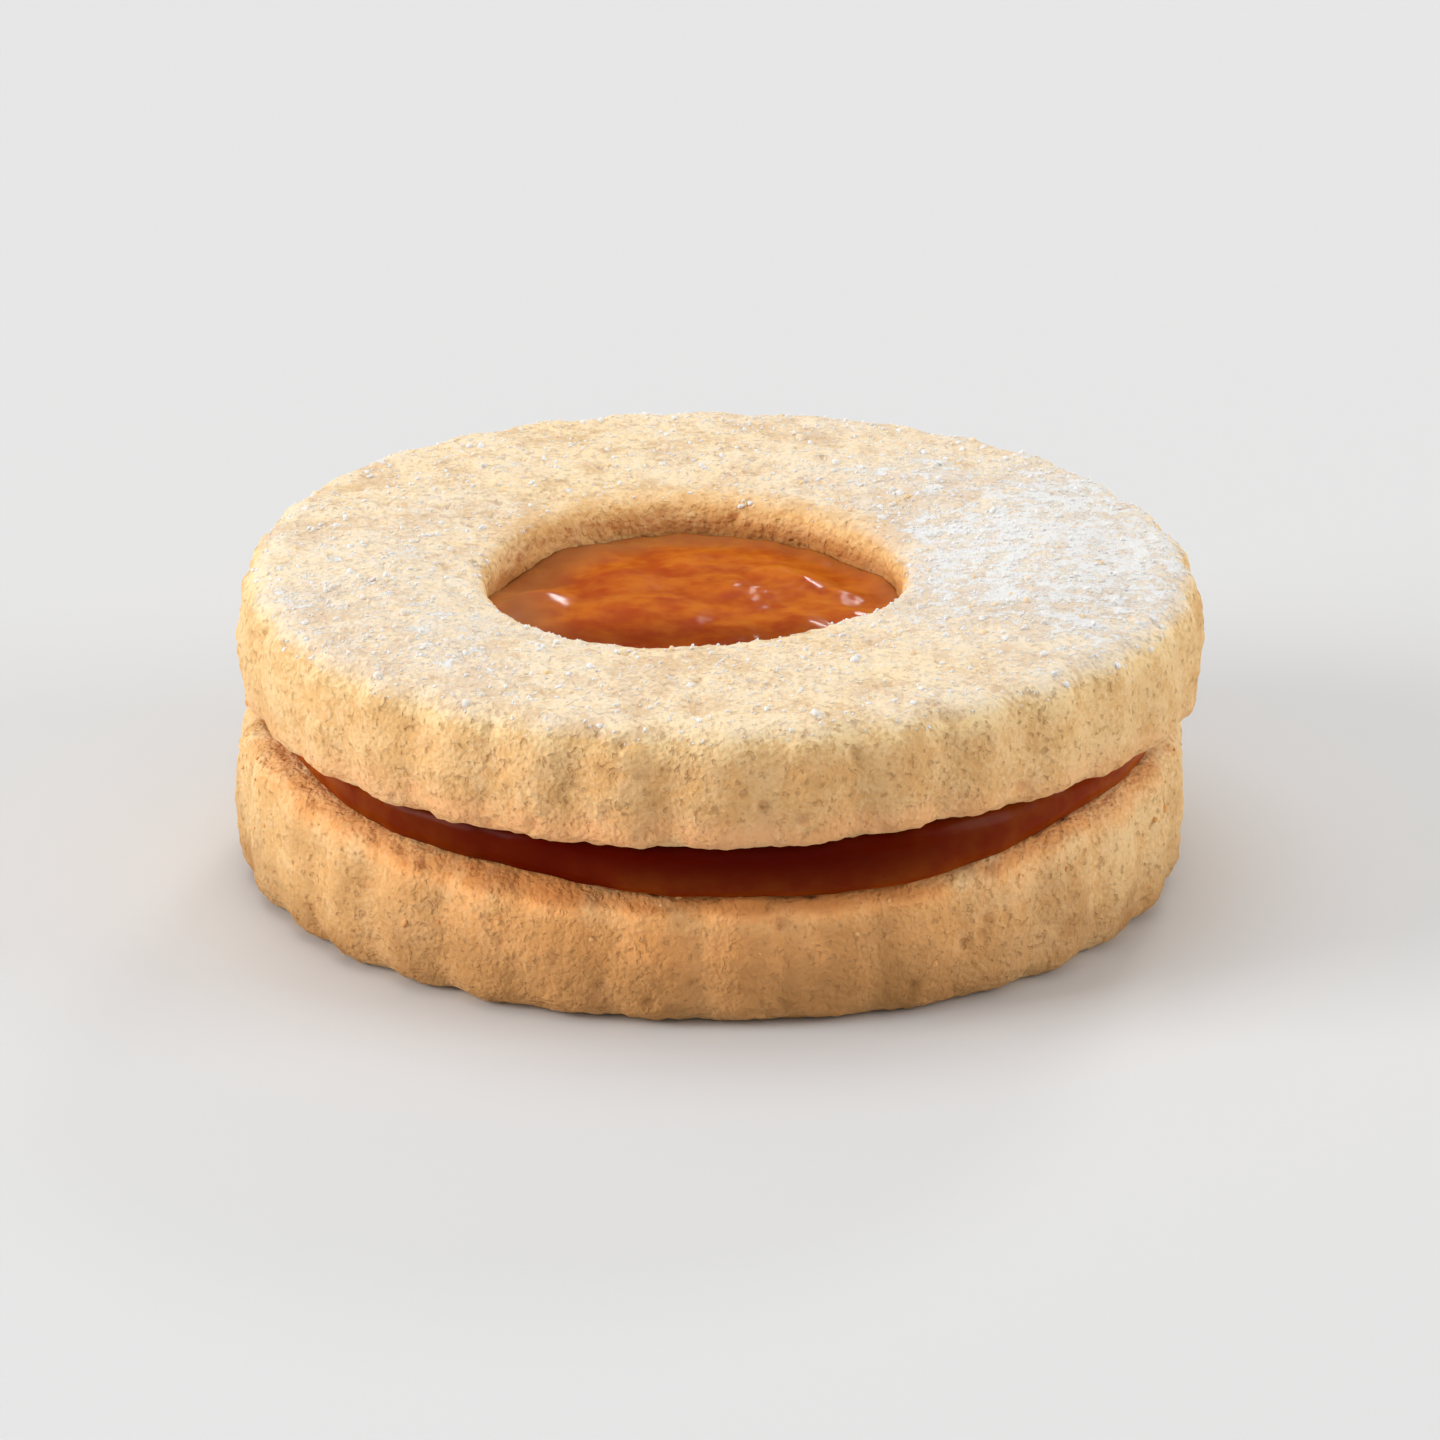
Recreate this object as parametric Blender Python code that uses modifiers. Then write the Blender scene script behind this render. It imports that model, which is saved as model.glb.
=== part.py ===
"""Round sable sandwich biscuit: a fluted base, a layer of jam, and a fluted ring whose window shows the jam.

Metres, +Z up. The origin is the centre of the underside, and the shown front faces -Y.
"""

import math

import bpy
from mathutils import Vector, noise

# Driving dimensions of the whole biscuit. The ring came out a little wider and flatter than the base.
RING_DIAMETER = 0.0497
BASE_DIAMETER = 0.0483
BASE_THICKNESS = 0.0082
JAM_THICKNESS = 0.0016
RING_THICKNESS = 0.0067
WINDOW_DIAMETER = 0.0212

# The cutter's flutes, softened in the oven.
FLUTES = 32
FLUTE_DEPTH = 0.00040
FLUTE_REACH = 0.0030
NOTCH_SOFTNESS = 0.50
BASE_FLUTE_TURN = math.radians(4)

# Rounding of the baked edges.
SHOULDER_ROUND = 0.0020
UNDERCUT_ROUND = 0.0012
FOOT_ROUND = 0.0020
WINDOW_ROUND = 0.0010
SIDE_BULGE = 0.00020
RING_CROWN = 0.00035
WINDOW_REACH = 0.0080

# The jam: how far it stays back from the base's rim, and how far below the ring's top it lies in the window.
JAM_RECESS = 0.0013
JAM_DROP = 0.0019
JAM_DOME = 0.0006
JAM_LUMP_HEIGHT = 0.00030
JAM_LUMP_SIZE = 0.0035

# Where the pieces lie: the clearance between two of them, and how far ring and base slid apart.
SKIN_GAP = 0.0003
SLIDE_APART = 0.00035
SLIDE_HEADING = math.radians(200)

# The jam is thickest at the front, where the base's edge dips and the jam is squeezed further out.
FRONT_HEADING = math.radians(-87)
FRONT_DIP = 0.0014
FRONT_SQUEEZE = 0.0014
FRONT_PLATEAU = math.radians(4)
FRONT_REACH = math.radians(36)

# Unevenness of the hand-cut shapes: (waves around, height, phase). A flute depth wave is a share of the depth.
BASE_FLUTE_WAVES = ((3, 0.17, 0.9), (7, 0.15, 4.0), (12, 0.12, 2.2))
RING_FLUTE_WAVES = ((2, 0.14, 3.1), (5, 0.17, 5.2), (11, 0.14, 0.7))
BASE_OUTLINE_WAVES = ((2, 0.00016, 0.6), (3, 0.00010, 2.4), (5, 0.00005, 4.4))
RING_OUTLINE_WAVES = ((2, 0.00014, 2.2), (3, 0.00012, 0.3), (5, 0.00005, 1.2))
RING_HEIGHT_WAVES = ((1, 0.00012, 1.9), (2, 0.00010, 0.8), (3, 0.00007, 3.6))
WINDOW_WAVES = ((1, 0.00130, 3.0), (2, 0.00016, 1.1), (3, 0.00009, 5.0), (5, 0.00005, 2.6))
JAM_EDGE_WAVES = ((2, 0.00022, 1.7), (3, 0.00020, 4.1), (5, 0.00018, 0.2), (9, 0.00012, 2.9))

# Fineness of the turned meshes.
BISCUIT_STEPS = FLUTES * 6
JAM_STEPS = 96
ARC_SEGMENTS = 4
CROWN_SEGMENTS = 3
DOME_SEGMENTS = 6

RING_RADIUS = RING_DIAMETER / 2
BASE_RADIUS = BASE_DIAMETER / 2
WINDOW_RADIUS = WINDOW_DIAMETER / 2
RING_FLOOR = BASE_THICKNESS + JAM_THICKNESS
RING_TOP = RING_FLOOR + RING_THICKNESS
JAM_RADIUS = BASE_RADIUS - JAM_RECESS
SWELL_START = JAM_RADIUS - FLUTE_REACH
MERGE_DISTANCE = 0.00001


def clear_scene():
    for obj in list(bpy.data.objects):
        bpy.data.objects.remove(obj)


def arc(centre, radius, start_degrees, end_degrees, segments=ARC_SEGMENTS):
    """Points of a circular arc in the (radius, height) plane."""
    points = []
    for i in range(segments + 1):
        angle = math.radians(start_degrees + (end_degrees - start_degrees) * i / segments)
        points.append((centre[0] + radius * math.cos(angle), centre[1] + radius * math.sin(angle)))
    return points


def waves(angle, terms):
    """Sum of a few waves round the biscuit."""
    return sum(height * math.cos(count * angle + phase) for count, height, phase in terms)


def blend(start, end, value):
    """0 up to start, 1 from end on, and a smooth step between them."""
    share = min(1.0, max(0.0, (value - start) / (end - start)))
    return share * share * (3 - 2 * share)


def flute_inset(angle, depth_waves):
    """How far the outline lies inside the crests: convex lobes with a softened notch between two."""
    wave = math.cos(FLUTES / 2 * angle)
    crest = (math.hypot(wave, NOTCH_SOFTNESS) - NOTCH_SOFTNESS) / (math.hypot(1, NOTCH_SOFTNESS) - NOTCH_SOFTNESS)
    return FLUTE_DEPTH * (1 + waves(angle, depth_waves)) * (1 - crest)


def turned(name, profile, is_loop, steps, collection):
    """Turns a (radius, height) profile round Z, and returns the object with the turned mesh as its own."""
    last = len(profile) - 1
    edges = [(i, i + 1) for i in range(last)]
    if is_loop:
        edges.append((last, 0))
    sketch = bpy.data.meshes.new(name + "_profile")
    sketch.from_pydata([(radius, 0, height) for radius, height in profile], edges, [])
    obj = bpy.data.objects.new(name, sketch)
    collection.objects.link(obj)
    screw = obj.modifiers.new("turn", "SCREW")
    screw.steps = screw.render_steps = steps
    screw.use_merge_vertices = True
    screw.merge_threshold = MERGE_DISTANCE
    graph = bpy.context.evaluated_depsgraph_get()
    obj.data = bpy.data.meshes.new_from_object(obj.evaluated_get(graph))
    obj.data.name = name
    obj.modifiers.clear()
    bpy.data.meshes.remove(sketch)
    return obj


def reshape(obj, rule):
    """Moves each vertex, given to rule as (radius, angle, height), to the (radius, height) that it returns."""
    for vertex in obj.data.vertices:
        radius = math.hypot(vertex.co.x, vertex.co.y)
        angle = math.atan2(vertex.co.y, vertex.co.x)
        radius, height = rule(radius, angle, vertex.co.z)
        vertex.co = (radius * math.cos(angle), radius * math.sin(angle), height)


def fluted_radius(radius, angle, rim, outline_waves, depth_waves, turn=0):
    """The rim's flutes and unevenness, which fade out towards the middle of the biscuit."""
    share = blend(rim - FLUTE_REACH, rim - FLUTE_REACH / 3, radius)
    return radius + share * (waves(angle, outline_waves) - flute_inset(angle - turn, depth_waves))


def towards_front(angle):
    """1 along the front, and a smooth fall to 0 on both sides of it."""
    return 1 - blend(FRONT_PLATEAU, FRONT_REACH, abs(angle - FRONT_HEADING))


def front_dip(radius, angle):
    """How far the base's top is pressed down there."""
    return FRONT_DIP * towards_front(angle) * blend(SWELL_START, BASE_RADIUS, radius)


def base_profile():
    side_middle = (BASE_RADIUS + SIDE_BULGE, (BASE_THICKNESS - UNDERCUT_ROUND + FOOT_ROUND) / 2)
    return [
        (0, BASE_THICKNESS),
        (SWELL_START, BASE_THICKNESS),
        *arc((BASE_RADIUS - UNDERCUT_ROUND, BASE_THICKNESS - UNDERCUT_ROUND), UNDERCUT_ROUND, 90, 0),
        side_middle,
        *arc((BASE_RADIUS - FOOT_ROUND, FOOT_ROUND), FOOT_ROUND, 0, -90),
        (0, 0),
    ]


def make_base(collection):
    obj = turned("base_biscuit", base_profile(), False, BISCUIT_STEPS, collection)

    def rule(radius, angle, height):
        dip = front_dip(radius, angle) * height / BASE_THICKNESS
        waved = fluted_radius(
            radius, angle, BASE_RADIUS, BASE_OUTLINE_WAVES, BASE_FLUTE_WAVES, BASE_FLUTE_TURN,
        )
        return waved, height - dip

    reshape(obj, rule)
    return obj


def ring_profile():
    inner, outer = WINDOW_RADIUS + WINDOW_ROUND, RING_RADIUS - SHOULDER_ROUND
    crown = []
    for i in range(1, CROWN_SEGMENTS):
        share = i / CROWN_SEGMENTS
        crown.append((inner + (outer - inner) * share, RING_TOP + RING_CROWN * math.sin(math.pi * share) ** 2))
    side_middle = (RING_RADIUS + SIDE_BULGE, (RING_FLOOR + UNDERCUT_ROUND + RING_TOP - SHOULDER_ROUND) / 2)
    return [
        *crown,
        *arc((RING_RADIUS - SHOULDER_ROUND, RING_TOP - SHOULDER_ROUND), SHOULDER_ROUND, 90, 0),
        side_middle,
        *arc((RING_RADIUS - UNDERCUT_ROUND, RING_FLOOR + UNDERCUT_ROUND), UNDERCUT_ROUND, 0, -90),
        (SWELL_START, RING_FLOOR),
        (WINDOW_RADIUS, RING_FLOOR),
        *arc((WINDOW_RADIUS + WINDOW_ROUND, RING_TOP - WINDOW_ROUND), WINDOW_ROUND, 180, 90, ARC_SEGMENTS - 1),
    ]


def make_ring(collection):
    obj = turned("ring_biscuit", ring_profile(), True, BISCUIT_STEPS, collection)

    def rule(radius, angle, height):
        rise = (height - RING_FLOOR) / RING_THICKNESS
        window_share = 1 - blend(WINDOW_RADIUS, WINDOW_RADIUS + WINDOW_REACH, radius)
        height += rise * waves(angle, RING_HEIGHT_WAVES)
        radius = fluted_radius(radius, angle, RING_RADIUS, RING_OUTLINE_WAVES, RING_FLUTE_WAVES)
        return radius + window_share * waves(angle, WINDOW_WAVES), height

    reshape(obj, rule)
    return obj


def jam_profile():
    """The dome in the window, the wall of the plug, then the layer with its rounded outer edge."""
    plug_radius = WINDOW_RADIUS - SKIN_GAP
    plug_top = RING_TOP - JAM_DROP
    layer_top, layer_floor = RING_FLOOR - SKIN_GAP, BASE_THICKNESS + SKIN_GAP
    half = (layer_top - layer_floor) / 2
    dome = []
    for i in range(DOME_SEGMENTS):
        share = i / DOME_SEGMENTS
        dome.append((plug_radius * share, plug_top + JAM_DOME * (1 - share * share)))
    return [
        *dome,
        (plug_radius, plug_top),
        (plug_radius, layer_top),
        (SWELL_START, layer_top),
        *arc((JAM_RADIUS - half, layer_floor + half), half, 90, -90, ARC_SEGMENTS + 1),
        (SWELL_START, layer_floor),
        (0, layer_floor),
    ]


def make_jam(collection):
    obj = turned("jam_filling", jam_profile(), False, JAM_STEPS, collection)
    plug_radius = WINDOW_RADIUS - SKIN_GAP
    layer_middle = BASE_THICKNESS + JAM_THICKNESS / 2
    layer_half = JAM_THICKNESS / 2 - SKIN_GAP

    def plug_rule(radius, angle, height):
        share = radius / plug_radius
        spot = Vector((radius * math.cos(angle), radius * math.sin(angle), 0)) / JAM_LUMP_SIZE
        on_surface = height > RING_FLOOR
        lump = JAM_LUMP_HEIGHT * noise.noise(spot) * (1 - share ** 4) if on_surface else 0
        return radius + share * waves(angle, WINDOW_WAVES), height + lump

    def layer_rule(radius, angle, height):
        outside = blend(SWELL_START, JAM_RADIUS - FLUTE_REACH / 3, radius)
        radius += outside * (waves(angle, JAM_EDGE_WAVES) + FRONT_SQUEEZE * towards_front(angle))
        below_middle = max(0.0, (layer_middle - height) / layer_half)
        return radius, height - below_middle * front_dip(radius, angle)

    def rule(radius, angle, height):
        in_plug = height > layer_middle and radius < WINDOW_RADIUS
        return plug_rule(radius, angle, height) if in_plug else layer_rule(radius, angle, height)

    reshape(obj, rule)
    return obj


def slide(obj, distance):
    obj.location.x = distance * math.cos(SLIDE_HEADING)
    obj.location.y = distance * math.sin(SLIDE_HEADING)


def centre_on_origin(objects):
    """Moves all the pieces together, so that the origin is the centre of their outline."""
    bpy.context.view_layer.update()
    corners = [obj.matrix_world @ vertex.co for obj in objects for vertex in obj.data.vertices]
    for axis in range(2):
        low = min(corner[axis] for corner in corners)
        high = max(corner[axis] for corner in corners)
        for obj in objects:
            obj.location[axis] -= (low + high) / 2


def baked_material(name, colour, roughness):
    material = bpy.data.materials.new(name)
    material.use_nodes = True
    shader = material.node_tree.nodes["Principled BSDF"]
    shader.inputs["Base Color"].default_value = (*colour, 1)
    shader.inputs["Roughness"].default_value = roughness
    shader.inputs["Metallic"].default_value = 0
    return material


def finish(obj, material, smooth_degrees=40):
    obj.data.materials.clear()
    obj.data.materials.append(material)
    obj.data.shade_smooth()
    obj.data.set_sharp_from_angle(angle=math.radians(smooth_degrees))


def main():
    clear_scene()
    collection = bpy.data.collections.new("sable_sandwich_biscuit")
    bpy.context.scene.collection.children.link(collection)
    base, jam, ring = make_base(collection), make_jam(collection), make_ring(collection)
    slide(base, SLIDE_APART / 2)
    slide(ring, -SLIDE_APART / 2)
    slide(jam, -SLIDE_APART / 2)
    centre_on_origin([base, jam, ring])
    finish(base, baked_material("baked_sable", (0.74, 0.43, 0.17), 0.85))
    finish(ring, baked_material("dusted_sable", (0.84, 0.66, 0.43), 0.90))
    finish(jam, baked_material("apricot_jam", (0.50, 0.09, 0.005), 0.20))


main()
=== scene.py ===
"""Looks of the jam sandwich sable: sandy biscuit, glossy apricot jam and sifted icing sugar.

Metres, +Z up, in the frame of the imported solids. The shown front faces -Y.
"""

import math

import bpy
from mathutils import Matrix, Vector


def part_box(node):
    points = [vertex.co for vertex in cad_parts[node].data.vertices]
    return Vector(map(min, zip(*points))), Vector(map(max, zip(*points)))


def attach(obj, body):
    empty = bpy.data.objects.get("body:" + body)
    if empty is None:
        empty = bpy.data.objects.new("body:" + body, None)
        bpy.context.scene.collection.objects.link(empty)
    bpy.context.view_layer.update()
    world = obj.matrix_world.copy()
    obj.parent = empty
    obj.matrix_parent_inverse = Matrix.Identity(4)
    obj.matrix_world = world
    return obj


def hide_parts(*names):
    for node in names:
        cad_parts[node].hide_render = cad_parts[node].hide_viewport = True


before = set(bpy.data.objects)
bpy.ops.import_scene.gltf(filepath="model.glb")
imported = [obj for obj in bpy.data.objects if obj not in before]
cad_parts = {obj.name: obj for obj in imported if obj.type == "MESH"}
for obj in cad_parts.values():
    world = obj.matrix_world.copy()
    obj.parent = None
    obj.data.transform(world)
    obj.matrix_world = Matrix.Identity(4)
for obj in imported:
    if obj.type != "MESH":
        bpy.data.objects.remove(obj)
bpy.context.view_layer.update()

MM = 0.001
BODY = "root"

# The two biscuits and the jam between them, as large as their solids.
RING_RADIUS = 24.85 * MM
BASE_RADIUS = 24.15 * MM
BASE_THICKNESS = 8.2 * MM
JAM_THICKNESS = 1.6 * MM
RING_THICKNESS = 6.7 * MM
WINDOW_RADIUS = 10.6 * MM
RING_FLOOR = BASE_THICKNESS + JAM_THICKNESS
RING_TOP = RING_FLOOR + RING_THICKNESS

# The cutter's flutes, softened in the oven.
FLUTES = 32
FLUTE_DEPTH = 0.40 * MM
FLUTE_REACH = 3.0 * MM
FULL_FLUTE_REACH = FLUTE_REACH / 3
NOTCH_SOFTNESS = 0.50
BASE_FLUTE_TURN = math.radians(4)

# Rounding of the baked edges.
SHOULDER_ROUND = 2.0 * MM
UNDERCUT_ROUND = 1.2 * MM
FOOT_ROUND = 2.0 * MM
WINDOW_ROUND = 1.0 * MM
SIDE_BULGE = 0.20 * MM
RING_CROWN = 0.35 * MM

# How far outside the window its unevenness still moves the ring.
WINDOW_REACH = 8.0 * MM

# The jam fills the window and the gap, and reaches a little into the biscuits, so that no air shows.
JAM_RECESS = 1.3 * MM
JAM_DROP = 2.2 * MM
JAM_DOME = 0.6 * MM
JAM_BITE = 0.25 * MM
JAM_RADIUS = BASE_RADIUS - JAM_RECESS
LAYER_MIDDLE = BASE_THICKNESS + JAM_THICKNESS / 2
LAYER_HALF = JAM_THICKNESS / 2 + JAM_BITE

# Heights where the jam's layer ends, where the window's jam starts, and of the wall's hidden foot.
LAYER_END = RING_FLOOR + 1 * MM
WINDOW_JAM_START = RING_FLOOR + 1.5 * MM
WALL_FOOT = RING_TOP - 2 * JAM_DROP

# The jam's lumps, and the larger lump of fruit at the left of the window.
JAM_LUMP_SIZE = 4.5 * MM
FRUIT_SIZE = 3.2 * MM
EDGE_LUMP_SIZE = 2.6 * MM
RIPPLE_SIZE = 1.1 * MM
FRUIT_PLACE = (-9.2 * MM, -0.4 * MM, 0)
FRUIT_REACH = 3.0 * MM

# Shares of the window's radius from which the jam climbs the wall, darkens along it and thins out.
MENISCUS_START = 0.88
DARK_RIM_START = 0.70
THIN_START = 0.68

# How dark the jam is painted: along the window's wall and in the gap, partly for thicker jam and partly
# as painted shade, and at the window's front as painted shade. The gap is darker at the front, but for
# the lower lip of the jam there, which is painted lighter, as painted light where it catches the light.
RIM_DARKNESS = 0.25
FRONT_DARKNESS = 0.60
GAP_DARKNESS = 0.52
GAP_FRONT_GAIN = 0.48
LIT_LIP = 0.16
LIT_LIP_WIDTH = 1.4 * MM

# The jam is thickest at the front: the base's edge dips there, and the jam swells out over it.
FRONT_HEADING = math.radians(-94)
FRONT_DIP = 1.15 * MM
FRONT_SQUEEZE = 0.6 * MM
FRONT_PLATEAU = math.radians(12)
FRONT_REACH = math.radians(82)
FRONT_FALL = 1.4
SWELL_START = JAM_RADIUS - FLUTE_REACH

# The ring's lower edge lies a little higher than its underside, most at the front on the right.
EDGE_LIFT = 0.05 * MM
RIGHT_LIFT = 0.45 * MM
RIGHT_HEADING = math.radians(-56)
RIGHT_REACH = math.radians(50)

# Unevenness of the hand-cut shapes: (waves around, height, phase). A flute wave is a share of the depth.
BASE_FLUTE_WAVES = ((3, 0.17, 0.9), (7, 0.15, 4.0), (12, 0.12, 2.2))
RING_FLUTE_WAVES = ((2, 0.14, 3.1), (5, 0.17, 5.2), (11, 0.14, 0.7))
BASE_OUTLINE_WAVES = ((2, 0.16 * MM, 0.6), (3, 0.10 * MM, 2.4), (5, 0.05 * MM, 4.4))
RING_OUTLINE_WAVES = ((2, 0.14 * MM, 2.2), (3, 0.12 * MM, 0.3), (5, 0.05 * MM, 1.2))
RING_HEIGHT_WAVES = ((1, 0.12 * MM, 1.9), (2, 0.10 * MM, 0.8), (3, 0.07 * MM, 3.6))
WINDOW_WAVES = ((1, 1.60 * MM, 2.58), (2, 0.18 * MM, 4.7), (3, 0.30 * MM, 0.8), (5, 0.05 * MM, 2.6))
JAM_EDGE_WAVES = ((2, 0.22 * MM, 1.7), (3, 0.20 * MM, 4.1), (5, 0.18 * MM, 0.2), (9, 0.12 * MM, 2.9))

# The relief of the baked crumb, from broad to fine.
SWELL_SIZE = 9 * MM
LUMP_SIZE = 2.4 * MM
GRAIN_SIZE = 0.75 * MM
PIT_SIZE = 1.5 * MM
PIT_PATCH_SIZE = 3 * MM

# Sideways shifts, in metres, that give a noise a pattern of its own.
PIT_PATCH_SHIFT = (0.1, 0, 0)
PIT_SHIFT = (0.3, 0, 0)
PORE_SHIFT = (0.2, 0, 0)

# How strongly the jam soaked into a biscuit all round, and how much more at the front.
BASE_STAIN_ROUND = 0.4
BASE_STAIN_FRONT = 0.6
RING_STAIN_ROUND = 0.15
RING_STAIN_FRONT = 0.50

# How far from its edge the jam soaked into a biscuit: where the stain ends and where it is full.
BASE_STAIN_END = 2.1 * MM
BASE_STAIN_FULL = 0.2 * MM
RING_STAIN_END = 3.0 * MM
RING_STAIN_FULL = 0.8 * MM

# The stain on the window's wall, and the stretch at the rear left with the least jam on it.
WALL_STAIN_END = RING_TOP + 0.5 * MM
WALL_STAIN_FULL = RING_TOP - 2.1 * MM
CLEAN_WALL_HEADING = math.radians(128)
CLEAN_WALL_REACH = math.radians(42)
CLEAN_WALL_LOSS = 0.4

# How far outside the window its lip at the rear is stained in full and at all, how strongly, and how
# much of its sugar is gone.
LIP_START = 0.6 * MM
LIP_END = 2.6 * MM
LIP_STAIN = 0.60
LIP_BARENESS = 0.6

# How much sugar lies where, round the ring: most at the right, least at the front and the rear, and
# none where the surface faces up by less than SUGAR_SLOPE. It levels the crumb's relief by a share.
SUGAR_SHARE = 0.46
SUGAR_WAVES = ((1, 0.12, 0.0), (2, 0.16, -0.4), (3, 0.03, 1.0))
SUGAR_SLOPE = 0.45
SUGAR_PATCH_SIZE = 5.0 * MM
SUGAR_PATCH_SHARE = 0.45
SUGAR_SPOT_SIZE = 1.6 * MM
SUGAR_SPOT_SHARE = 0.25
SUGAR_CLUMP_SIZE = 0.9 * MM
SUGAR_GRAIN_SIZE = 0.5 * MM
SUGAR_LEVELLING = 0.45

# Seeds and proportions of the loose grains, and the height below which none lie.
TURN_SEED = 5
PROPORTION_SEED = 9
GROWTH_SEED = 13
SLIM_GRAIN = (0.7, 0.7, 0.5)
STOUT_GRAIN = (1.3, 1.1, 0.9)
LEAST_GROWTH = 0.7
DENT_SIZE = 0.18 * MM
DENT_SHARE = 2.4
BARE_FOOT = 0.5 * MM

# Fineness of the turned meshes, from what shows to what is hidden.
FINE = 0.22 * MM
MEDIUM = 0.45 * MM
COARSE = 1.5 * MM
COARSEST = 4 * COARSE
BISCUIT_STEPS = FLUTES * 21
JAM_STEPS = 384
CROWN_SEGMENTS = 12
MERGE_DISTANCE = 0.01 * MM

# The photograph's view: low over the front, through a long lens.
VIEW_ELEVATION = math.radians(20.7)
VIEW_DISTANCE = 1.65
VIEW_LENS = 800
VIEW_AIM = (0, 0, 7.95 * MM)

# The studio, in metres.
FLOOR_SIZE = 6
FLOOR_CLOUD_SIZE = 0.4
LIGHT_AIM = (0, 0, 8 * MM)


# ---------------------------------------------------------------- node building

class Field:
    """A value that nodes work out at each point. Arithmetic on it adds Math nodes to its tree."""

    def __init__(self, tree, socket):
        self.tree, self.socket = tree, socket

    def math(self, operation, *others):
        values = dict(enumerate([self, *others]))
        return field(add(self.tree, "ShaderNodeMath", values, operation=operation))

    def __add__(self, other):
        return self.math("ADD", other)

    def __sub__(self, other):
        return self.math("SUBTRACT", other)

    def __rsub__(self, other):
        return (self * -1).math("ADD", other)

    def __mul__(self, other):
        return self.math("MULTIPLY", other)

    def __truediv__(self, other):
        return self.math("DIVIDE", other)

    def __pow__(self, other):
        return self.math("POWER", other)

    def at_least(self, other):
        return self.math("MAXIMUM", other)

    def at_most(self, other):
        return self.math("MINIMUM", other)

    def cos(self):
        return self.math("COSINE")

    def sin(self):
        return self.math("SINE")

    def size(self):
        return self.math("ABSOLUTE")

    def step(self, start, end):
        """0 on start's side, 1 past end, and a smooth step between them."""
        values = {"Value": self, "From Min": start, "From Max": end}
        node = add(self.tree, "ShaderNodeMapRange", values, interpolation_type="SMOOTHSTEP")
        return field(node, "Result")

    __radd__ = __add__
    __rmul__ = __mul__


def add(tree, kind, values=None, **settings):
    """Adds a node: settings are its own properties, and values its inputs, as numbers or fields."""
    node = tree.nodes.new(kind)
    for name, value in settings.items():
        setattr(node, name, value)
    for key, value in (values or {}).items():
        if isinstance(value, Field):
            tree.links.new(value.socket, node.inputs[key])
        else:
            node.inputs[key].default_value = value
    return node


def field(node, output=0):
    return Field(node.id_data, node.outputs[output])


def new_group(name, kind, inputs, outputs):
    """A node group with named sockets. Returns it, its inputs as fields and its output node."""
    group = bpy.data.node_groups.new(name, kind)
    for socket_name, (socket_type, default) in inputs.items():
        socket = group.interface.new_socket(socket_name, in_out="INPUT", socket_type=socket_type)
        if default is not None:
            socket.default_value = default
    for socket_name, socket_type in outputs.items():
        group.interface.new_socket(socket_name, in_out="OUTPUT", socket_type=socket_type)
    entry = group.nodes.new("NodeGroupInput")
    given = {socket_name: field(entry, socket_name) for socket_name in inputs}
    return group, given, group.nodes.new("NodeGroupOutput")


GEOMETRY = ("NodeSocketGeometry", None)
MATERIAL = ("NodeSocketMaterial", None)


def number(default):
    return "NodeSocketFloat", default


def whole_number(default):
    return "NodeSocketInt", default


def vector(tree, x, y, z):
    return field(add(tree, "ShaderNodeCombineXYZ", {"X": x, "Y": y, "Z": z}))


def split(value):
    node = add(value.tree, "ShaderNodeSeparateXYZ", {"Vector": value})
    return [field(node, axis) for axis in "XYZ"]


def noise(place, size, detail=2.0, roughness=0.5):
    """Cloudy noise around 0.5 whose blobs are about the given size."""
    values = {"Vector": place, "Scale": 1 / size, "Detail": detail, "Roughness": roughness}
    return field(add(place.tree, "ShaderNodeTexNoise", values))


def grains(place, size, randomness=1.0):
    """Distance to the nearest of scattered points, whose spacing is about the given size."""
    values = {"Vector": place, "Scale": 1 / size, "Randomness": randomness}
    return field(add(place.tree, "ShaderNodeTexVoronoi", values), "Distance")


def rounded_grains(place, size):
    """The same distance without creases between two grains."""
    values = {"Vector": place, "Scale": 1 / size, "Smoothness": 0.5}
    return field(add(place.tree, "ShaderNodeTexVoronoi", values, feature="SMOOTH_F1"), "Distance")


def moved(place, offset):
    return field(add(place.tree, "ShaderNodeVectorMath", {0: place, 1: offset}, operation="ADD"))


def scaled(value, factor):
    node = add(value.tree, "ShaderNodeVectorMath", {0: value, "Scale": factor}, operation="SCALE")
    return field(node)


# ---------------------------------------------------------------- turned shapes

def arc(centre, radius, start_degrees, end_degrees):
    """Points of a circular arc in the (radius, height) plane."""
    segments = math.ceil(radius * math.radians(abs(end_degrees - start_degrees)) / FINE)
    points = []
    for i in range(segments + 1):
        angle = math.radians(start_degrees + (end_degrees - start_degrees) * i / segments)
        points.append((centre[0] + radius * math.cos(angle), centre[1] + radius * math.sin(angle)))
    return points


def filled_in(points, spacing):
    """The same outline with points added, so that no two neighbours lie further apart than spacing."""
    result = [points[0]]
    for start, end in zip(points, points[1:]):
        parts = max(1, math.ceil(math.dist(start, end) / spacing))
        for i in range(1, parts + 1):
            share = i / parts
            result.append(tuple(a + (b - a) * share for a, b in zip(start, end)))
    return result


def turned(name, profile, steps, is_loop=False):
    """An object whose (radius, height) profile is turned round Z."""
    last = len(profile) - 1
    edges = [(i, i + 1) for i in range(last)]
    if is_loop:
        edges.append((last, 0))
    mesh = bpy.data.meshes.new(name)
    mesh.from_pydata([(radius, 0, height) for radius, height in profile], edges, [])
    obj = bpy.data.objects.new(name, mesh)
    bpy.context.scene.collection.objects.link(obj)
    screw = obj.modifiers.new("turn", "SCREW")
    screw.steps = screw.render_steps = steps
    screw.use_merge_vertices = True
    screw.merge_threshold = MERGE_DISTANCE
    return obj


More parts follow.
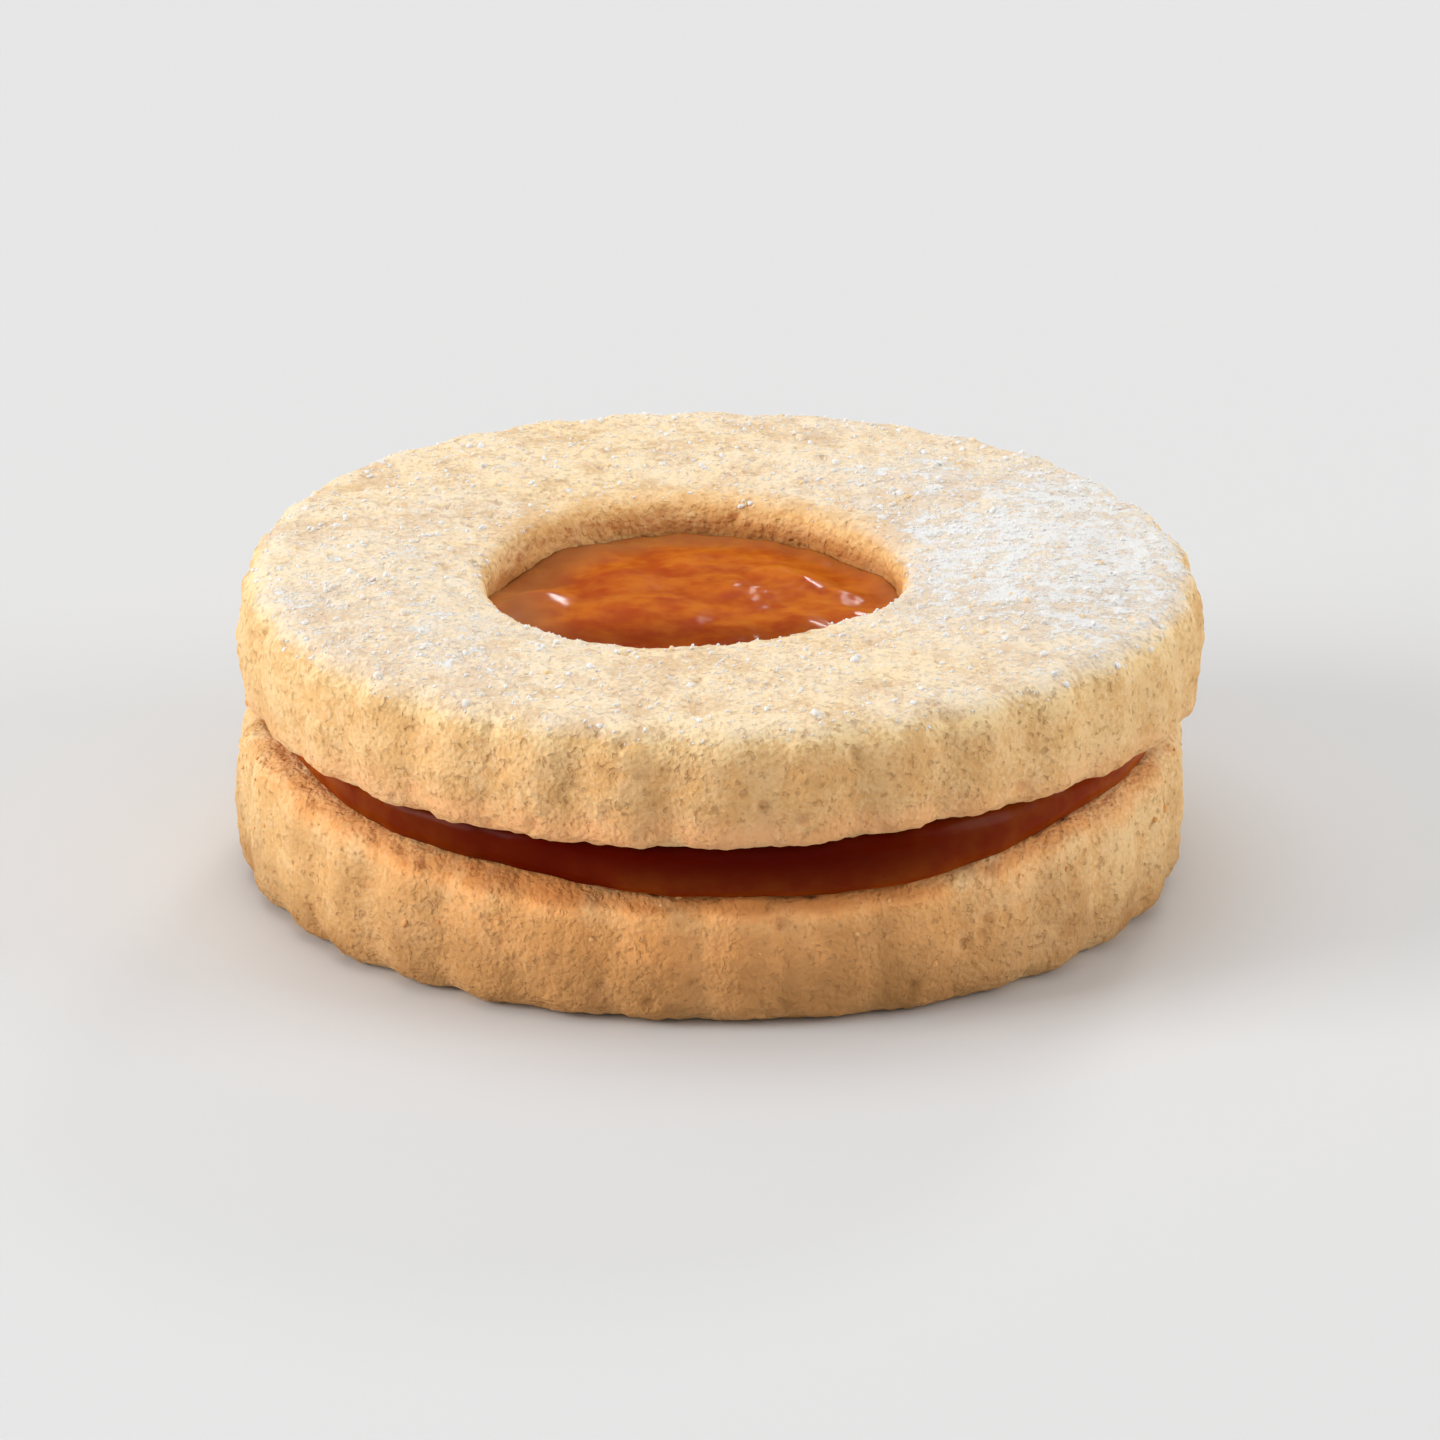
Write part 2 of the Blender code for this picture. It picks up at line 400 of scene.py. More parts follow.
def run_nodes(obj, group, **inputs):
    """Puts a node group on the object as a modifier, with its inputs set by their names' identifiers."""
    modifier = obj.modifiers.new(group.name, "NODES")
    modifier.node_group = group
    for item in group.interface.items_tree:
        key = item.name.lower().replace(" ", "_")
        if item.item_type == "SOCKET" and item.in_out == "INPUT" and key in inputs:
            modifier[item.identifier] = inputs[key]


def made_plain(obj):
    """Keeps the object's evaluated form as its own mesh, without modifiers."""
    graph = bpy.context.evaluated_depsgraph_get()
    mesh = bpy.data.meshes.new_from_object(obj.evaluated_get(graph))
    mesh.name = obj.name
    obj.modifiers.clear()
    obj.data = mesh
    return obj


def seat(obj, node):
    """Moves the mesh sideways, so that it stands as centrally as the solid it replaces."""
    low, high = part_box(node)
    own = [vertex.co for vertex in obj.data.vertices]
    own_low = Vector(min(co[axis] for co in own) for axis in range(3))
    own_high = Vector(max(co[axis] for co in own) for axis in range(3))
    shift = (low + high - own_low - own_high) / 2
    for vertex in obj.data.vertices:
        vertex.co.x += shift.x
        vertex.co.y += shift.y


def base_profile():
    """From the middle of its top, over the rim, to the middle of its underside."""
    side_middle = (BASE_RADIUS + SIDE_BULGE, (BASE_THICKNESS - UNDERCUT_ROUND + FOOT_ROUND) / 2)
    hidden_top = [(0, BASE_THICKNESS), (SWELL_START, BASE_THICKNESS)]
    rim = [
        (SWELL_START, BASE_THICKNESS),
        *arc((BASE_RADIUS - UNDERCUT_ROUND, BASE_THICKNESS - UNDERCUT_ROUND), UNDERCUT_ROUND, 90, 0),
        side_middle,
        *arc((BASE_RADIUS - FOOT_ROUND, FOOT_ROUND), FOOT_ROUND, 0, -90),
    ]
    underside = [(BASE_RADIUS - FOOT_ROUND, 0), (0, 0)]
    return [
        *filled_in(hidden_top, COARSEST),
        *filled_in(rim, FINE)[1:],
        *filled_in(underside, MEDIUM)[1:],
    ]


def ring_profile():
    """A closed outline, from the window's lip over the crown and the rim to the underside and back."""
    inner, outer = WINDOW_RADIUS + WINDOW_ROUND, RING_RADIUS - SHOULDER_ROUND
    crown = []
    for i in range(CROWN_SEGMENTS + 1):
        share = i / CROWN_SEGMENTS
        radius = inner + (outer - inner) * share
        crown.append((radius, RING_TOP + RING_CROWN * math.sin(math.pi * share) ** 2))
    side_middle = (RING_RADIUS + SIDE_BULGE, (RING_FLOOR + UNDERCUT_ROUND + RING_TOP - SHOULDER_ROUND) / 2)
    shown = [
        *crown[:-1],
        *arc((RING_RADIUS - SHOULDER_ROUND, RING_TOP - SHOULDER_ROUND), SHOULDER_ROUND, 90, 0),
        side_middle,
        *arc((RING_RADIUS - UNDERCUT_ROUND, RING_FLOOR + UNDERCUT_ROUND), UNDERCUT_ROUND, 0, -90),
    ]
    underside = [(RING_RADIUS - UNDERCUT_ROUND, RING_FLOOR), (SWELL_START, RING_FLOOR)]
    hidden = [(SWELL_START, RING_FLOOR), (WINDOW_RADIUS, RING_FLOOR), (WINDOW_RADIUS, WALL_FOOT)]
    lip = [
        (WINDOW_RADIUS, WALL_FOOT),
        *arc((WINDOW_RADIUS + WINDOW_ROUND, RING_TOP - WINDOW_ROUND), WINDOW_ROUND, 180, 90),
    ]
    return [
        *filled_in(shown, FINE),
        *filled_in(underside, MEDIUM)[1:],
        *filled_in(hidden, COARSE)[1:],
        *filled_in(lip, FINE)[1:-1],
    ]


def jam_profile():
    """The surface in the window, the hidden wall, then the edge that shows between the biscuits."""
    plug_radius = WINDOW_RADIUS + JAM_BITE
    plug_top = RING_TOP - JAM_DROP
    layer_top, layer_floor = LAYER_MIDDLE + LAYER_HALF, LAYER_MIDDLE - LAYER_HALF
    dome = []
    for i in range(CROWN_SEGMENTS + 1):
        share = i / CROWN_SEGMENTS
        dome.append((plug_radius * share, plug_top + JAM_DOME * (1 - share * share)))
    hidden = [(plug_radius, plug_top), (plug_radius, layer_top), (SWELL_START, layer_top)]
    arc_centre = (JAM_RADIUS - LAYER_HALF, LAYER_MIDDLE)
    edge = [(SWELL_START, layer_top), *arc(arc_centre, LAYER_HALF, 90, -90), (SWELL_START, layer_floor)]
    floor = [(SWELL_START, layer_floor), (0, layer_floor)]
    return [
        *filled_in(dome, FINE),
        *filled_in(hidden, COARSE)[1:],
        *filled_in(edge, FINE)[1:],
        *filled_in(floor, COARSEST)[1:],
    ]


# ---------------------------------------------------------------- rules of the shapes, as nodes

def polar(place):
    """(radius, angle, height) of a place."""
    x, y, z = split(place)
    return (x * x + y * y) ** 0.5, y.math("ARCTAN2", x), z


def from_polar(radius, angle, height):
    return vector(radius.tree, radius * angle.cos(), radius * angle.sin(), height)


def waves(angle, terms):
    """Sum of a few waves round the biscuit."""
    total = 0
    for count, height, phase in terms:
        total = total + (angle * count + phase).cos() * height
    return total


def towards_front(angle):
    """1 at the front, with a smooth fall to 0 towards the left and the right."""
    return (angle - FRONT_HEADING).size().step(FRONT_REACH, FRONT_PLATEAU)


def front_side(angle):
    """1 at the front, 0 from the left and right sides on."""
    return (angle - FRONT_HEADING).cos().at_least(0) ** FRONT_FALL


def front_dip(radius, angle):
    """How far the base's top is pressed down at the front."""
    return towards_front(angle) * radius.step(SWELL_START, BASE_RADIUS) * FRONT_DIP


def edge_lift(radius, angle):
    """How far the ring's underside is raised at its edge, most at the front right."""
    right = (angle - RIGHT_HEADING).size().step(RIGHT_REACH, 0)
    return (right * RIGHT_LIFT + EDGE_LIFT) * radius.step(SWELL_START, BASE_RADIUS)


def flute_crest(angle, flutes):
    """1 on the crest of a flute, and 0 in the softened notch between two."""
    wave = (angle * flutes / 2).cos()
    soft = (wave * wave + NOTCH_SOFTNESS ** 2) ** 0.5 - NOTCH_SOFTNESS
    return soft / (math.hypot(1, NOTCH_SOFTNESS) - NOTCH_SOFTNESS)


def fluted_radius(radius, angle, given, rim, outline_waves, flute_waves, turn=0):
    """The rim's flutes and unevenness, which fade out towards the middle of the biscuit."""
    share = radius.step(rim - FLUTE_REACH, rim - FULL_FLUTE_REACH)
    turned_angle = angle - turn
    depth = given["Flute Depth"] * (waves(turned_angle, flute_waves) + 1)
    inset = depth * (1 - flute_crest(turned_angle, given["Flutes"]))
    return radius + share * (waves(angle, outline_waves) - inset)


def set_position(geometry, **values):
    return field(add(geometry.tree, "GeometryNodeSetPosition", {"Geometry": geometry, **values}))


def stored(geometry, name, value):
    """The geometry with a value kept on its points, for the materials to read."""
    values = {"Geometry": geometry, "Name": name, "Value": value}
    return field(add(geometry.tree, "GeometryNodeStoreNamedAttribute", values, data_type="FLOAT"))


def smooth_shaded(geometry):
    return field(add(geometry.tree, "GeometryNodeSetShadeSmooth", {"Geometry": geometry}))


def with_material(geometry, material):
    values = {"Geometry": geometry, "Material": material}
    return field(add(geometry.tree, "GeometryNodeSetMaterial", values))


BISCUIT_SIZES = {
    "Geometry": GEOMETRY,
    "Flutes": whole_number(FLUTES),
    "Flute Depth": number(FLUTE_DEPTH),
    "Swell Height": number(0.22 * MM),
    "Lump Height": number(0.38 * MM),
    "Grain Height": number(0.18 * MM),
    "Pit Depth": number(0.26 * MM),
    "Sugar Height": number(0.15 * MM),
    "Material": MATERIAL,
}


def sandy_relief(place, given):
    """Height of the baked crumb over the smooth form: swells, lumps, grains and pits."""
    swell = (noise(place, SWELL_SIZE, 1) - 0.5) * given["Swell Height"]
    lumps = (noise(place, LUMP_SIZE, 3) - 0.5) * given["Lump Height"]
    grain = (0.5 - grains(place, GRAIN_SIZE)) * given["Grain Height"]
    spotty = noise(moved(place, PIT_PATCH_SHIFT), PIT_PATCH_SIZE, 1).step(0.42, 0.62)
    pits = grains(moved(place, PIT_SHIFT), PIT_SIZE).step(0.34, 0.12) * spotty * given["Pit Depth"]
    return swell + lumps + grain - pits


def biscuit_group(name, shape_rule, stain_rule, sugar_rule=None):
    """Makes a smooth turned form a baked, fluted biscuit, whose points keep its jam stain and sugar."""
    group, given, out = new_group(name, "GeometryNodeTree", BISCUIT_SIZES, {"Geometry": GEOMETRY[0]})
    place = field(group.nodes.new("GeometryNodeInputPosition"))
    normal = field(group.nodes.new("GeometryNodeInputNormal"))
    shaped = set_position(given["Geometry"], Position=from_polar(*shape_rule(*polar(place), given)))
    shaped = stored(shaped, "stain", stain_rule(*polar(place)))
    height = sandy_relief(place, given)
    if sugar_rule:
        shaped = stored(shaped, "sugar", sugar_rule(place, normal))
        kept = field(add(group, "GeometryNodeInputNamedAttribute", {"Name": "sugar"}, data_type="FLOAT"))
        clumps = noise(place, SUGAR_CLUMP_SIZE, 2) + (0.5 - grains(place, SUGAR_GRAIN_SIZE)) * 0.5
        height = height * (1 - kept * SUGAR_LEVELLING) + clumps * kept * given["Sugar Height"]
    baked = set_position(shaped, Offset=scaled(normal, height))
    x, y, z = split(place)
    baked = set_position(baked, Position=vector(group, x, y, z.at_least(0)))
    baked = with_material(smooth_shaded(baked), given["Material"])
    group.links.new(baked.socket, out.inputs["Geometry"])
    return group


def base_shape(radius, angle, height, given):
    dip = front_dip(radius, angle) * height / BASE_THICKNESS
    new_radius = fluted_radius(
        radius, angle, given, BASE_RADIUS, BASE_OUTLINE_WAVES, BASE_FLUTE_WAVES, BASE_FLUTE_TURN,
    )
    return new_radius, angle, height - dip


def ring_shape(radius, angle, height, given):
    rise = (height - RING_FLOOR) / RING_THICKNESS
    window_share = radius.step(WINDOW_RADIUS + WINDOW_REACH, WINDOW_RADIUS)
    height = height + rise * waves(angle, RING_HEIGHT_WAVES) + (1 - rise) * edge_lift(radius, angle)
    radius = fluted_radius(radius, angle, given, RING_RADIUS, RING_OUTLINE_WAVES, RING_FLUTE_WAVES)
    return radius + window_share * waves(angle, WINDOW_WAVES), angle, height


def rear_lip(radius, angle):
    """1 on the window's lip at the rear, and 0 a little way out from it."""
    from_window = radius - waves(angle, WINDOW_WAVES)
    rear = angle.sin().step(-0.2, 0.9)
    return from_window.step(WINDOW_RADIUS + LIP_END, WINDOW_RADIUS + LIP_START) * rear


def sifted_sugar(place, normal):
    """0 to 1: most on what faces up, uneven round the ring, and thin towards the rim and the window."""
    radius, angle, _ = polar(place)
    up = split(normal)[2].step(SUGAR_SLOPE, 1.0) * (1 - rear_lip(radius, angle) * LIP_BARENESS)
    drift = waves(angle, SUGAR_WAVES) + SUGAR_SHARE
    patches = (noise(place, SUGAR_PATCH_SIZE, 2) - 0.5) * SUGAR_PATCH_SHARE
    spots = (noise(place, SUGAR_SPOT_SIZE, 1) - 0.5) * SUGAR_SPOT_SHARE
    return (up * (drift + (patches + spots))).at_least(0).at_most(1)


def base_stain(radius, angle, height):
    """Jam soaked into the base's upper edge, most at the front; its colour there is partly painted light.
    """
    share = front_side(angle) * BASE_STAIN_FRONT + BASE_STAIN_ROUND
    below_top = BASE_THICKNESS - front_dip(radius, angle) - height
    return below_top.step(BASE_STAIN_END, BASE_STAIN_FULL) * share


def ring_stain(radius, angle, height):
    """Jam soaked into the ring's lower edge, the window's wall and the rear of its lip."""
    share = front_side(angle) * RING_STAIN_FRONT + RING_STAIN_ROUND
    lower_edge = height.step(RING_FLOOR + RING_STAIN_END, RING_FLOOR + RING_STAIN_FULL) * share
    in_window = radius.step(RING_RADIUS - WINDOW_REACH, WINDOW_RADIUS)
    clean = (angle - CLEAN_WALL_HEADING).size().step(CLEAN_WALL_REACH, 0)
    wall = in_window * height.step(WALL_STAIN_END, WALL_STAIN_FULL) * (1 - clean * CLEAN_WALL_LOSS)
    return lower_edge.at_least(wall).at_least(rear_lip(radius, angle) * LIP_STAIN)


def jam_group():
    """Gives the turned jam its lumps in the window and its uneven edge between the biscuits."""
    sizes = {
        "Geometry": GEOMETRY,
        "Lump Height": number(0.60 * MM),
        "Fruit Height": number(0.55 * MM),
        "Ripple Height": number(0.12 * MM),
        "Left Fruit Height": number(0.65 * MM),
        "Edge Height": number(0.5 * MM),
        "Meniscus": number(0.20 * MM),
        "Material": MATERIAL,
    }
    group, given, out = new_group("spoon_jam", "GeometryNodeTree", sizes, {"Geometry": GEOMETRY[0]})
    place = field(group.nodes.new("GeometryNodeInputPosition"))
    radius, angle, height = polar(place)
    in_window = height.step(LAYER_END, WINDOW_JAM_START)
    share = radius / (WINDOW_RADIUS + JAM_BITE)
    lump = (noise(place, JAM_LUMP_SIZE, 1) - 0.5) * given["Lump Height"]
    ripple = (noise(place, RIPPLE_SIZE, 1) - 0.5) * given["Ripple Height"]
    fruit = (0.5 - rounded_grains(place, FRUIT_SIZE)) * given["Fruit Height"]
    meniscus = share.step(MENISCUS_START, 1.0) * given["Meniscus"]
    from_fruit, _, _ = polar(moved(place, tuple(-part for part in FRUIT_PLACE)))
    left_fruit = from_fruit.step(FRUIT_REACH, 0) * given["Left Fruit Height"]
    on_edge = radius.step(SWELL_START, JAM_RADIUS - FULL_FLUTE_REACH)
    front = towards_front(angle)
    bulge = waves(angle, JAM_EDGE_WAVES) + (noise(place, EDGE_LUMP_SIZE, 2) - 0.5) * given["Edge Height"]
    swollen = on_edge * (bulge + front * FRONT_SQUEEZE)
    new_radius = radius + swollen + in_window * share * waves(angle, WINDOW_WAVES)
    above_middle = ((height - LAYER_MIDDLE) / LAYER_HALF).at_most(1)
    below_middle = (above_middle * -1).at_least(0)
    lifted = above_middle.at_least(0) * edge_lift(new_radius, angle)
    dipped = below_middle * front_dip(new_radius, angle)
    lumps = lump + fruit + ripple + meniscus + left_fruit
    new_height = height + (1 - in_window) * (lifted - dipped) + in_window * lumps
    shaped = set_position(given["Geometry"], Position=from_polar(new_radius, angle, new_height))
    # Painted shade and light on the jam, kept as the depth attribute: darker in the gap and along the wall,
    # partly for thicker jam and partly as painted shade, darker at the window's front as painted shade, and
    # lighter on the front lip as painted light.
    lit_lip = front * new_radius.step(BASE_RADIUS - LIT_LIP_WIDTH, BASE_RADIUS) * below_middle * LIT_LIP
    gap_darkness = GAP_DARKNESS + GAP_FRONT_GAIN * front - lit_lip
    in_gap = radius.step(WINDOW_RADIUS + JAM_BITE, JAM_RADIUS - 1 * MM) * gap_darkness
    along_wall = share.step(DARK_RIM_START, 1.0) * RIM_DARKNESS
    along_front = (angle.sin() * share * -1).step(0.18, 0.55) * FRONT_DARKNESS
    shaped = stored(shaped, "depth", in_gap.at_least(in_window * along_wall.at_least(along_front)))
    towards_wall = in_window * share.step(THIN_START, 1.0)
    thin = towards_wall * (angle.sin() + 1.25).at_most(1) * (angle.cos() * 0.15 + 0.75)
    shaped = stored(shaped, "thinness", thin)
    shaped = with_material(smooth_shaded(shaped), given["Material"])
    group.links.new(shaped.socket, out.inputs["Geometry"])
    return group


def random_vector(tree, low, high, seed):
    values = {0: low, 1: high, "Seed": seed}
    return field(add(tree, "FunctionNodeRandomValue", values, data_type="FLOAT_VECTOR"))


def random_number(tree, low, high, seed):
    values = {2: low, 3: high, "Seed": seed}
    return field(add(tree, "FunctionNodeRandomValue", values, data_type="FLOAT"), 1)


def scatter_group():
    """Small uneven grains, scattered over what shows of a biscuit, evenly or where its sugar lies."""
    sizes = {
        "Geometry": GEOMETRY,
        "Per Square Metre": number(1e6),
        "Grain Radius": number(0.1 * MM),
        "Roundness": whole_number(1),
        "Size Spread": number(0.8),
        "Follow Sugar": number(1.0),
        "Least Upward": number(0.0),
        "Seed": whole_number(1),
        "Material": MATERIAL,
    }
    group, given, out = new_group("scatter_grains", "GeometryNodeTree", sizes, {"Geometry": GEOMETRY[0]})
    sugar = field(add(group, "GeometryNodeInputNamedAttribute", {"Name": "sugar"}, data_type="FLOAT"))
    place = field(group.nodes.new("GeometryNodeInputPosition"))
    normal = field(group.nodes.new("GeometryNodeInputNormal"))
    radius, _, height = polar(place)
    side = radius.step(JAM_RADIUS, JAM_RADIUS + 1 * MM) * height.step(BARE_FOOT, BARE_FOOT + 1 * MM)
    top = height.step(RING_TOP - 2 * MM, RING_TOP - 1 * MM)
    facing_up = split(normal)[2].math("GREATER_THAN", given["Least Upward"])
    shown = side.at_least(top) * facing_up
    where = (1 - given["Follow Sugar"] * (1 - sugar)) * shown
    spread = add(group, "GeometryNodeDistributePointsOnFaces", {
        "Mesh": given["Geometry"],
        "Density": given["Per Square Metre"] * where,
        "Seed": given["Seed"],
    })
    ball = add(group, "GeometryNodeMeshIcoSphere", {
        "Radius": given["Grain Radius"],
        "Subdivisions": given["Roundness"],
    })
    turn = random_vector(group, (0, 0, 0), (math.tau,) * 3, TURN_SEED)
    growth = random_number(group, 0, 1, GROWTH_SEED) ** 4 * given["Size Spread"] + LEAST_GROWTH
    size = scaled(random_vector(group, SLIM_GRAIN, STOUT_GRAIN, PROPORTION_SEED), growth)
    placed = add(group, "GeometryNodeInstanceOnPoints", {
        "Points": field(spread, "Points"),
        "Instance": field(ball, "Mesh"),
        "Rotation": turn,
        "Scale": size,
    })
    grown = field(add(group, "GeometryNodeRealizeInstances", {"Geometry": field(placed)}))
    dent = (noise(place, DENT_SIZE, 1) - 0.5) * given["Grain Radius"] * DENT_SHARE
    rough = set_position(grown, Offset=scaled(normal, dent))
    rough = with_material(smooth_shaded(rough), given["Material"])
    group.links.new(rough.socket, out.inputs["Geometry"])
    return group


# ---------------------------------------------------------------- materials

def new_material(name, **fixed):
    """A material with a Principled shader, whose sockets that are the same all over are set here."""
    material = bpy.data.materials.new(name)
    material.use_nodes = True
    shader = material.node_tree.nodes["Principled BSDF"]
    for key, value in fixed.items():
        shader.inputs[key.replace("_", " ")].default_value = value
    return material, material.node_tree, shader


def feed(shader, **values):
    for key, value in values.items():
        shader.id_data.links.new(value.socket, shader.inputs[key.replace("_", " ")])


def object_place(tree):
    return field(tree.nodes.new("ShaderNodeTexCoord"), "Object")


def attribute(tree, name):
    return field(add(tree, "ShaderNodeAttribute", attribute_name=name), "Fac")


def mixed(share, first, second):
    """first where share is 0, second where it is 1."""
    tree = share.tree
    node = add(tree, "ShaderNodeMix", {0: share}, data_type="RGBA")
    for index, colour in ((6, first), (7, second)):
        if isinstance(colour, Field):
            tree.links.new(colour.socket, node.inputs[index])
        else:
            node.inputs[index].default_value = (*colour, 1)
    return field(node, 2)


def bumped(height, distance, strength=1.0):
    values = {"Height": height, "Distance": distance, "Strength": strength}
    return field(add(height.tree, "ShaderNodeBump", values), "Normal")


def placed_group(tree, group, **values):
    """A group node in a material. Its outputs are read with field(node, name)."""
    node = tree.nodes.new("ShaderNodeGroup")
    node.node_tree = group
    for key, value in values.items():
        socket = node.inputs[key.replace("_", " ")]
        if isinstance(value, Field):
            tree.links.new(value.socket, socket)
        else:
            socket.default_value = value
    return node


# The crumb's tones, from broad to fine, its pores and its finest grain.
BROAD_TONE_SIZE = 7 * MM
MIDDLE_TONE_SIZE = 1.6 * MM
FINE_TONE_SIZE = 0.28 * MM
PORE_SIZE = 0.42 * MM
FINE_GRAIN_SIZE = 0.32 * MM


def crumb_look_group():
    """Fine sandy crumb: a tone that varies from grain to grain, pores that the material paints dark as
    shade, and a height for bumps.
    """
    inputs = {
        "Place": ("NodeSocketVector", None),
        "Pore Share": number(0.5),
    }
    outputs = {"Tone": "NodeSocketFloat", "Pores": "NodeSocketFloat", "Height": "NodeSocketFloat"}
    group, given, out = new_group("sandy_crumb_look", "ShaderNodeTree", inputs, outputs)
    place = given["Place"]
    broad = noise(place, BROAD_TONE_SIZE, 2) - 0.5
    middle = noise(place, MIDDLE_TONE_SIZE, 3) - 0.5
    fine = noise(place, FINE_TONE_SIZE, 2) - 0.5
    tone = 0.5 + (broad * 0.9 + middle * 1.3 + fine * 1.1)
    pores = noise(moved(place, PORE_SHIFT), PORE_SIZE, 2).step(0.58, 0.70) * given["Pore Share"]
    grain = 0.6 - grains(place, FINE_GRAIN_SIZE)
    height = grain * 0.6 + fine * 0.9 + middle * 0.8 - pores
    for name, value in (("Tone", tone), ("Pores", pores), ("Height", height)):
        group.links.new(value.socket, out.inputs[name])
    return group


# Where a disc's outside starts and is full, seen from the middle, and the size of its brown patches.
OUTSIDE_START = RING_RADIUS - 3 * MM
OUTSIDE_FULL = RING_RADIUS - 0.5 * MM
BROWN_PATCH_SIZE = 4 * MM

# Shares of a disc's thickness: how far up the foot's brown and painted shade reach, and where side and top
# meet.
FOOT_BROWN_TOP = 0.62
FOOT_BROWN_FULL = -0.02
SIDE_FULL = 0.60
TOP_START = 0.70
SIDE_END = 0.95


def browning_group():
    """Where a disc is browned in patches and darker along its foot, partly oven browning and partly painted
    shade, and where its front and its top are.
    """
    inputs = {
        "Place": ("NodeSocketVector", None),
        "Floor": number(0.0),
        "Thickness": number(7 * MM),
        "Foot Share": number(0.5),
        "Front Share": number(0.5),
        "Patch Share": number(0.5),
    }
    outputs = {"Toasted": "NodeSocketFloat", "Front": "NodeSocketFloat", "Top": "NodeSocketFloat"}
    group, given, out = new_group("oven_browning", "ShaderNodeTree", inputs, outputs)
    radius, angle, height = polar(given["Place"])
    rise = (height - given["Floor"]) / given["Thickness"]
    foot = rise.step(FOOT_BROWN_TOP, FOOT_BROWN_FULL) * given["Foot Share"]
    outside = radius.step(OUTSIDE_START, OUTSIDE_FULL) * rise.step(SIDE_END, SIDE_FULL)
    patches = noise(given["Place"], BROWN_PATCH_SIZE, 3).step(0.42, 0.66) * given["Patch Share"]
    toasted_and_shaded = (outside * (foot + patches)).at_most(1)
    front = outside * front_side(angle) ** 2 * given["Front Share"]
    top = rise.step(TOP_START, SIDE_END)
    for name, value in (("Toasted", toasted_and_shaded), ("Front", front), ("Top", top)):
        group.links.new(value.socket, out.inputs[name])
    return group


# Sizes of the sugar's specks and clouds, of its thin veil, and of its grain.
SPECK_SIZE = 0.30 * MM
SPECK_CLOUD_SIZE = 1.1 * MM
VEIL_SIZE = 0.9 * MM
POWDER_GRAIN_SIZE = 0.22 * MM

# How readily sifted powder shows: by its cover, from this level on, and over this softness.
POWDER_GAIN = 0.56
POWDER_LEVEL = 0.87
POWDER_SOFTNESS = 0.07


def sugar_look_group():
    """How white the sifted sugar makes a spot: a thin veil, and powder that breaks up into specks."""
    inputs = {"Place": ("NodeSocketVector", None), "Cover": number(0.0)}
    outputs = {"White": "NodeSocketFloat", "Height": "NodeSocketFloat"}
    group, given, out = new_group("sifted_sugar_look", "ShaderNodeTree", inputs, outputs)
    place, cover = given["Place"], given["Cover"]
    specks = noise(place, SPECK_SIZE, 3, 0.65) * 0.5 + noise(place, SPECK_CLOUD_SIZE, 2) * 0.5
    powder = (specks + cover * POWDER_GAIN - POWDER_LEVEL).step(-POWDER_SOFTNESS, POWDER_SOFTNESS)
    veil = cover * (noise(place, VEIL_SIZE, 2) * 0.8 + 0.4)
    white = powder.at_least(veil) * cover.step(0.0, 0.10)
    height = powder * noise(place, POWDER_GRAIN_SIZE, 2)
    group.links.new(white.socket, out.inputs["White"])
    group.links.new(height.socket, out.inputs["Height"])
    return group


# The baked crumb, from the pale top to the darker foot, and where jam soaked in. The foot and the front
# are darker partly from the oven and partly as painted shade, the pores are painted shade, and the
# base's stain is lighter partly as painted light on its upper edge.
PALE = (0.92, 0.695, 0.375)
PALE_SHADE = (0.70, 0.455, 0.205)
CREAM = (0.88, 0.60, 0.300)
GOLD = (0.78, 0.47, 0.195)
FRONT_CRUST_AND_SHADE = (0.75, 0.32, 0.095)
TOASTED_AND_SHADED = (0.46, 0.225, 0.075)
PAINTED_PORE_SHADE = (0.46, 0.23, 0.08)
# The base's stain is lighter than its crumb: a jam stain and partly painted light on its upper edge.
BASE_STAIN_AND_LIGHT = (0.97, 0.39, 0.105)
RING_STAIN = (0.97, 0.44, 0.190)
WALL_STAIN = (0.82, 0.43, 0.130)
JAM_FILM = (0.40, 0.125, 0.024)

# How fully the pale top, the stain and the film of jam cover the crumb, how cloudy the stain is, where
# the stain's colour on the wall gives way to that at the edge, and the height of the crumb's bumps.
PALE_SHARE = 0.85
STAIN_SHARE = 0.9
FILM_SHARE = 0.62
STAIN_CLOUD_SIZE = 3 * MM
WALL_COLOUR_FULL = WINDOW_RADIUS + 3 * MM
WALL_COLOUR_END = WINDOW_RADIUS + 6 * MM
CRUMB_BUMP = 0.16 * MM

# The sugar and the jam.
SUGAR_WHITE = (0.80, 0.785, 0.765)
SUGAR_SHADE = (0.78, 0.755, 0.72)
SUGAR_LIGHT = (0.84, 0.83, 0.815)
JAM_ORANGE = (0.36, 0.048, 0.0015)
JAM_AMBER = (0.52, 0.122, 0.0060)
# Dark red-brown jam for the gap, the wall and the front: partly thicker jam, partly painted shade.
JAM_DEEP_AND_SHADED = (0.085, 0.0035, 0.0004)
JAM_THIN = (0.47, 0.195, 0.060)

# Sizes of the jam's pulp and of the ripples that its sheen shows, and the height of those.
PULP_SIZE = 2.2 * MM
FINE_PULP_SIZE = 0.7 * MM
SHEEN_RIPPLE_SIZE = 1.0 * MM
FINE_SHEEN_RIPPLE_SIZE = 0.3 * MM
JAM_BUMP = 0.10 * MM

# The studio's greys.
FLOOR_DARK = (0.64, 0.64, 0.64)
FLOOR_LIGHT = (0.68, 0.68, 0.68)
SKY_LOW = (0.14, 0.14, 0.14)
SKY_HIGH = (0.72, 0.72, 0.72)


